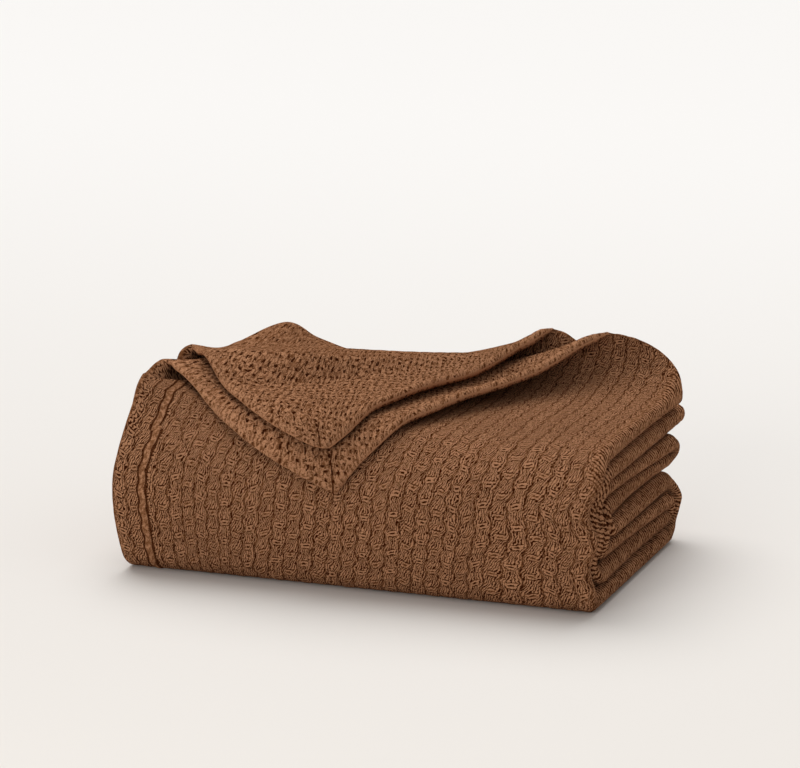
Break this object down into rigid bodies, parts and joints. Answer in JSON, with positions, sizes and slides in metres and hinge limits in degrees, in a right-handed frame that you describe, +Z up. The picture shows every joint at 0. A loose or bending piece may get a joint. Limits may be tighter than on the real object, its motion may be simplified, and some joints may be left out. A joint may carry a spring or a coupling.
{
  "type": "folded crochet blanket",
  "caption": "Brown crochet-weave blanket folded into a neat stack, with a corner of its top sheets turned over towards the front; for a bed, shelf, chest or sofa.",
  "frame": {"origin": "centre of the stack's box on the surface it lies on", "axes": "+X along the folded width, to the right when the turned corner points to the viewer; +Y from the rounded front to the loose back; +Z up"},
  "size_m": [0.5284, 0.3608, 0.2141],
  "materials": {
    "crochet_cloth": "matt brown cotton yarn in ribbed columns of blocks and bars"
  },
  "bodies": {
    "root": {"blanket": "crochet_cloth"}
  },
  "joints": []
}
